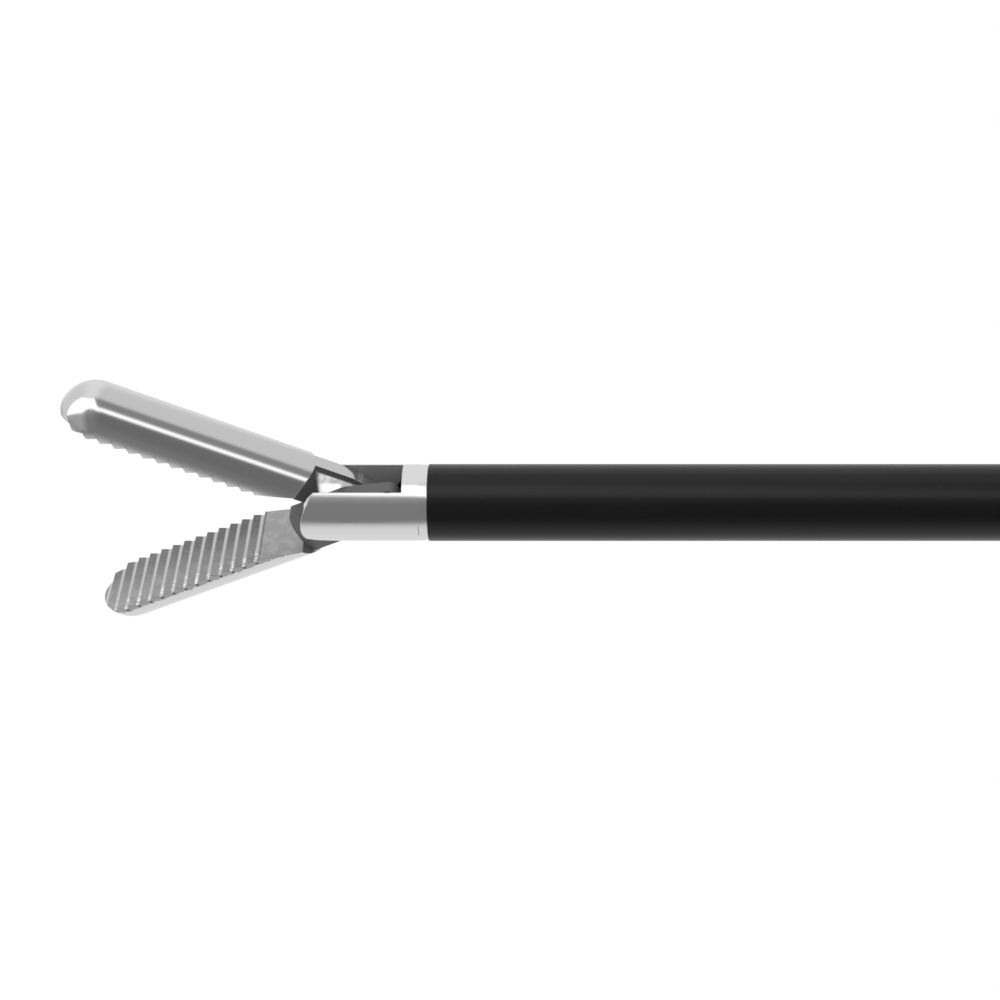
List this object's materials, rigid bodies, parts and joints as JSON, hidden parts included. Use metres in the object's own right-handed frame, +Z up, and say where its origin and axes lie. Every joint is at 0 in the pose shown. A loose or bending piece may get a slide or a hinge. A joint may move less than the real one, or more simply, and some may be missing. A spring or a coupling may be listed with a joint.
{
  "type": "laparoscopic grasper",
  "caption": "Slim insulated laparoscopic grasper with serrated double-action jaws, rotating shaft, ring handle and ratchet.",
  "frame": {"origin": "on the shaft's axis at the distal end face of the black insulation, where the bare metal fork begins", "axes": "+X along the shaft towards the handle, the jaws point to -X; +Z up, away from the ring handle's legs; the jaws open in the XZ plane and every pivot pin lies along Y"},
  "size_m": [0.4311, 0.0206, 0.1179],
  "materials": {
    "jaw_steel": "satin",
    "fork_steel": "satin",
    "pin_steel": "satin",
    "tube_steel": "satin",
    "insulation": "satin black",
    "bush_plastic": "matte",
    "rod_steel": "satin",
    "knob_plastic": "satin",
    "handle_plastic": "fine texture",
    "screw_steel": "satin",
    "seal_rubber": "matte",
    "post_metal": "polished",
    "insulator_plastic": "satin",
    "spring_brass": "plain",
    "port_metal": "polished",
    "spring_steel": "plain",
    "rack_steel": "satin",
    "bearing_bronze": "plain"
  },
  "bodies": {
    "handle": {"left_shell": "handle_plastic", "right_shell": "handle_plastic", "shell_screws": "screw_steel", "front_bush": "bush_plastic", "lever_pivot_bolt": "screw_steel", "electrode_post": "post_metal", "post_insulator": "insulator_plastic", "contact_spring": "spring_brass", "flush_port": "port_metal", "trigger_pin": "pin_steel", "trigger_spring": "spring_steel"},
    "shaft": {"clevis": "fork_steel", "jaw_pivot_pin": "pin_steel", "shaft_tube": "tube_steel", "insulation_sleeve": "insulation", "distal_rod_bush": "bush_plastic", "proximal_rod_bush": "bush_plastic", "shaft_hub": "tube_steel", "rotation_knob": "knob_plastic", "knob_set_screws": "screw_steel", "rod_seal": "seal_rubber", "seal_gland": "bush_plastic"},
    "upper_jaw": {"upper_jaw": "jaw_steel"},
    "lower_jaw": {"lower_jaw": "jaw_steel"},
    "rod": {"push_rod": "rod_steel", "drive_pin": "pin_steel", "ball_end": "rod_steel"},
    "lever": {"thumb_lever": "handle_plastic", "lever_bush": "bearing_bronze", "ratchet_rack": "rack_steel", "rack_rivets": "screw_steel"},
    "trigger": {"release_trigger": "knob_plastic"}
  },
  "joints": [
    {"name": "shaft_spin", "type": "hinge", "parent": "handle", "child": "shaft", "pos_m": [0, 0, 0], "axis": [1, 0, 0], "continuous": true},
    {"name": "lever_pivot", "type": "hinge", "parent": "handle", "child": "lever", "pos_m": [0.352, 0, -0.00539], "axis": [0, 1, 0], "range_deg": [0, 17]},
    {"name": "rod_slide", "type": "slide", "parent": "shaft", "child": "rod", "axis": [1, 0, 0], "range_m": [0, 0.0016]},
    {"name": "upper_jaw_pivot", "type": "hinge", "parent": "shaft", "child": "upper_jaw", "pos_m": [-0.0051, 0, 0], "axis": [0, -1, 0], "range_deg": [0, 26]},
    {"name": "lower_jaw_pivot", "type": "hinge", "parent": "shaft", "child": "lower_jaw", "pos_m": [-0.0051, 0, 0], "axis": [0, 1, 0], "range_deg": [0, 26]},
    {"name": "trigger_pivot", "type": "hinge", "parent": "handle", "child": "trigger", "pos_m": [0.338, 0, -0.023], "axis": [0, -1, 0], "range_deg": [0, 8], "stiffness_Nm_per_rad": 0.05, "springref_deg": -5.73}
  ],
  "couplings": [
    {"joint": "rod_slide", "follows": "lever_pivot", "m_per_rad": 0.00539},
    {"joint": "upper_jaw_pivot", "follows": "lever_pivot", "ratio": 1.529},
    {"joint": "lower_jaw_pivot", "follows": "lever_pivot", "ratio": 1.529}
  ]
}
